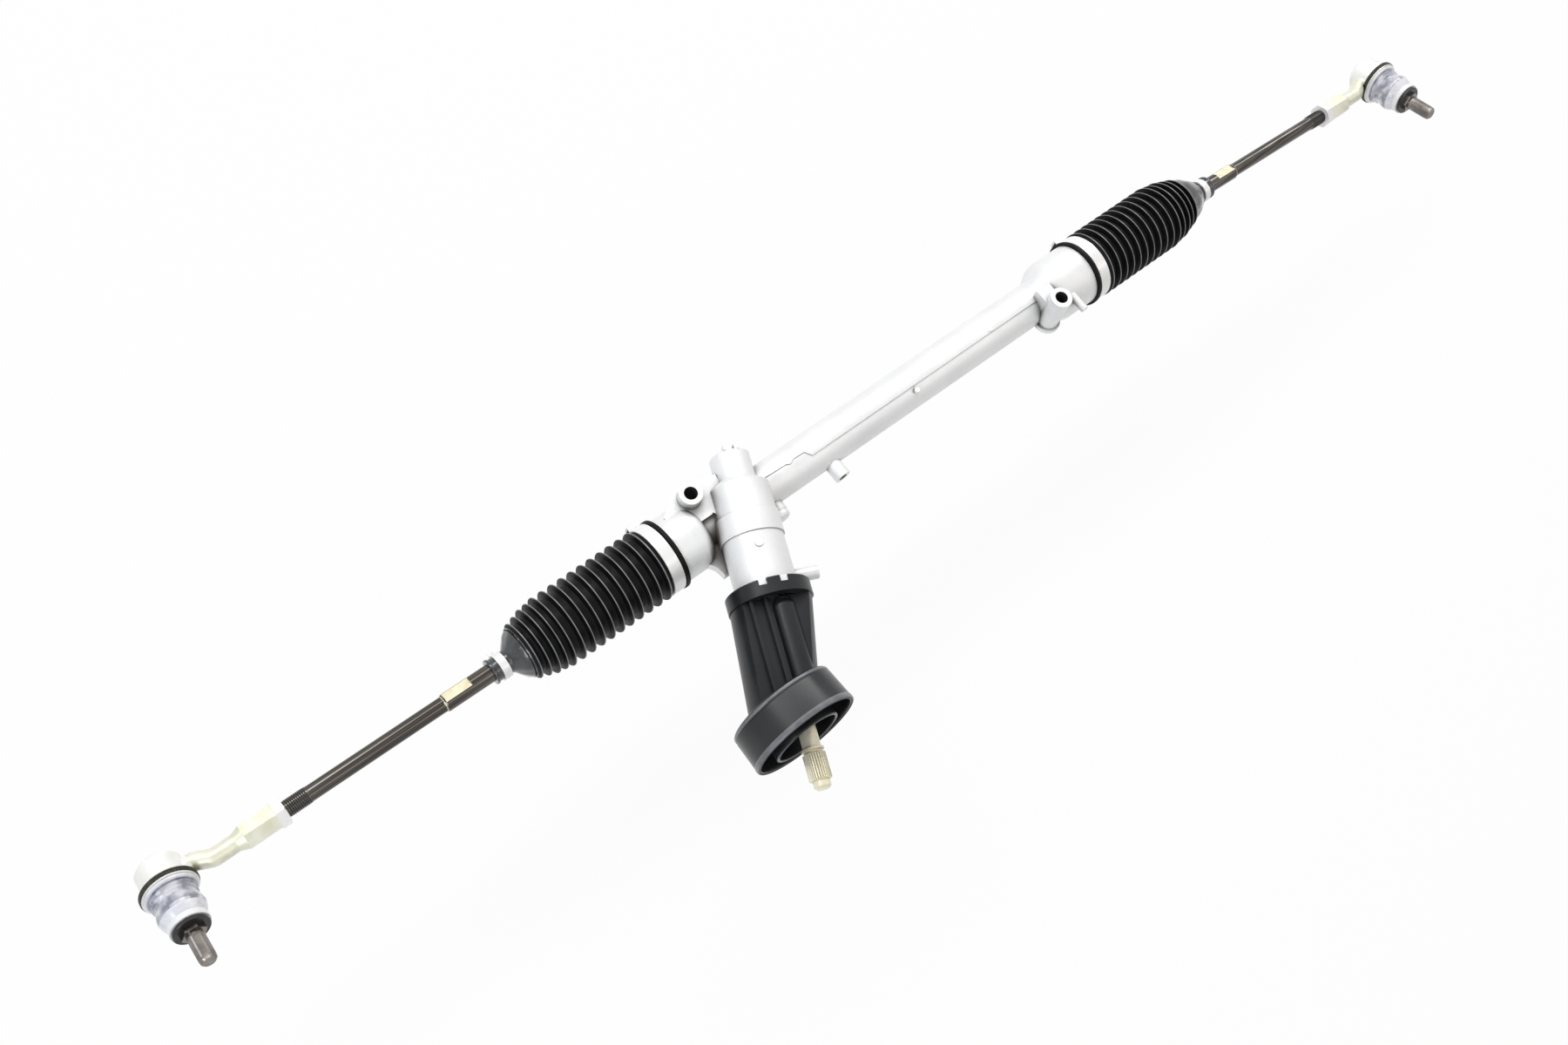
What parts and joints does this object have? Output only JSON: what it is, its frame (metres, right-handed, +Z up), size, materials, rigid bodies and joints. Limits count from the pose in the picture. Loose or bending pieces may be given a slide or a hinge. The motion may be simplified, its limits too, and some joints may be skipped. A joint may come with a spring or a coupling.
{
  "type": "steering rack",
  "caption": "Rack-and-pinion steering gear: cast housing, helical pinion on a splined shaft under a cover with a round seal, bellows, tie rods and ball studs.",
  "frame": {"origin": "on the rack axis, midway between the two bellows", "axes": "+X along the rack, towards the tie rod farther from the pinion; +Z up, along both mounting holes; the pinion shaft leans towards -Y and -X"},
  "size_m": [1.296, 0.2467, 0.1028],
  "materials": {
    "black_plastic": "moulded, fine grain",
    "black_rubber": "moulded, matt",
    "cast_aluminium": "die-cast, matt",
    "foam_rubber": "moulded, matt",
    "plated_steel": "bright zinc plated",
    "seat_plastic": "moulded",
    "steel": "machined"
  },
  "bodies": {
    "housing": {"rack_housing": "cast_aluminium", "rack_bush": "seat_plastic", "needle_bearing": "steel", "bearing_outer_ring": "steel", "bearing_balls": "steel", "bearing_retainer": "steel", "pinion_seal": "black_rubber", "yoke": "cast_aluminium", "yoke_liner": "seat_plastic", "yoke_spring": "steel", "yoke_plug": "plated_steel", "side_plug": "black_plastic", "column_cover": "black_plastic", "dash_seal": "foam_rubber", "bellows_left": "black_rubber", "bellows_right": "black_rubber", "large_clamp_left": "plated_steel", "large_clamp_right": "plated_steel"},
    "rack": {"rack_bar": "steel", "inner_socket_left": "plated_steel", "inner_socket_right": "plated_steel"},
    "pinion": {"pinion_shaft": "steel", "bearing_inner_ring": "steel", "pinion_circlip": "steel"},
    "inner_bearing_left": {"inner_seat_left": "seat_plastic"},
    "tie_rod_assembly_left": {"tie_rod_left": "plated_steel", "jam_nut_left": "plated_steel", "rod_end_left": "plated_steel", "rod_end_cap_left": "plated_steel", "boot_clip_left": "plated_steel", "dust_boot_left": "black_rubber", "small_clamp_left": "plated_steel"},
    "outer_bearing_left": {"outer_seat_left": "seat_plastic", "boot_ring_left": "plated_steel"},
    "stud_assembly_left": {"ball_stud_left": "plated_steel", "boot_washer_left": "plated_steel"},
    "inner_bearing_right": {"inner_seat_right": "seat_plastic"},
    "tie_rod_assembly_right": {"tie_rod_right": "plated_steel", "jam_nut_right": "plated_steel", "rod_end_right": "plated_steel", "rod_end_cap_right": "plated_steel", "boot_clip_right": "plated_steel", "dust_boot_right": "black_rubber", "small_clamp_right": "plated_steel"},
    "outer_bearing_right": {"outer_seat_right": "seat_plastic", "boot_ring_right": "plated_steel"},
    "stud_assembly_right": {"ball_stud_right": "plated_steel", "boot_washer_right": "plated_steel"}
  },
  "joints": [
    {"name": "rack_travel", "type": "slide", "parent": "housing", "child": "rack", "axis": [1, 0, 0], "range_m": [-0.066, 0.066], "deforming": ["bellows_left", "bellows_right"]},
    {"name": "pinion_turn", "type": "hinge", "parent": "housing", "child": "pinion", "pos_m": [-0.1517, 0, 0.01506], "axis": [-0.4067, -0.9135, 0], "range_deg": [-541, 541]},
    {"name": "rod_rise_left", "type": "hinge", "parent": "rack", "child": "inner_bearing_left", "pos_m": [-0.3135, 0, 0], "axis": [0, 1, 0], "range_deg": [-16, 16]},
    {"name": "rod_sweep_left", "type": "hinge", "parent": "inner_bearing_left", "child": "tie_rod_assembly_left", "pos_m": [-0.3135, 0, 0], "axis": [0, 0, 1], "range_deg": [-10, 10]},
    {"name": "stud_tilt_left", "type": "hinge", "parent": "tie_rod_assembly_left", "child": "outer_bearing_left", "pos_m": [-0.62824, 0.00891, 0.00148], "axis": [-0.0145, -0.3583, -0.9335], "range_deg": [-18, 18], "deforming": ["dust_boot_left"]},
    {"name": "stud_spin_left", "type": "hinge", "parent": "outer_bearing_left", "child": "stud_assembly_left", "pos_m": [-0.62824, 0.00891, 0.00148], "axis": [-0.0805, -0.9301, 0.3583], "range_deg": [-60, 60]},
    {"name": "rod_rise_right", "type": "hinge", "parent": "rack", "child": "inner_bearing_right", "pos_m": [0.3135, 0, 0], "axis": [0, -1, 0], "range_deg": [-16, 16]},
    {"name": "rod_sweep_right", "type": "hinge", "parent": "inner_bearing_right", "child": "tie_rod_assembly_right", "pos_m": [0.3135, 0, 0], "axis": [0, 0, 1], "range_deg": [-10, 10]},
    {"name": "stud_tilt_right", "type": "hinge", "parent": "tie_rod_assembly_right", "child": "outer_bearing_right", "pos_m": [0.6273, 0.00067, -0.02596], "axis": [0.0762, 0.3573, 0.9309], "range_deg": [-18, 18], "deforming": ["dust_boot_right"]},
    {"name": "stud_spin_right", "type": "hinge", "parent": "outer_bearing_right", "child": "stud_assembly_right", "pos_m": [0.6273, 0.00067, -0.02596], "axis": [-0.066, -0.9297, 0.3623], "range_deg": [-60, 60]}
  ],
  "couplings": [
    {"joint": "pinion_turn", "follows": "rack_travel", "rad_per_m": 142.86}
  ]
}
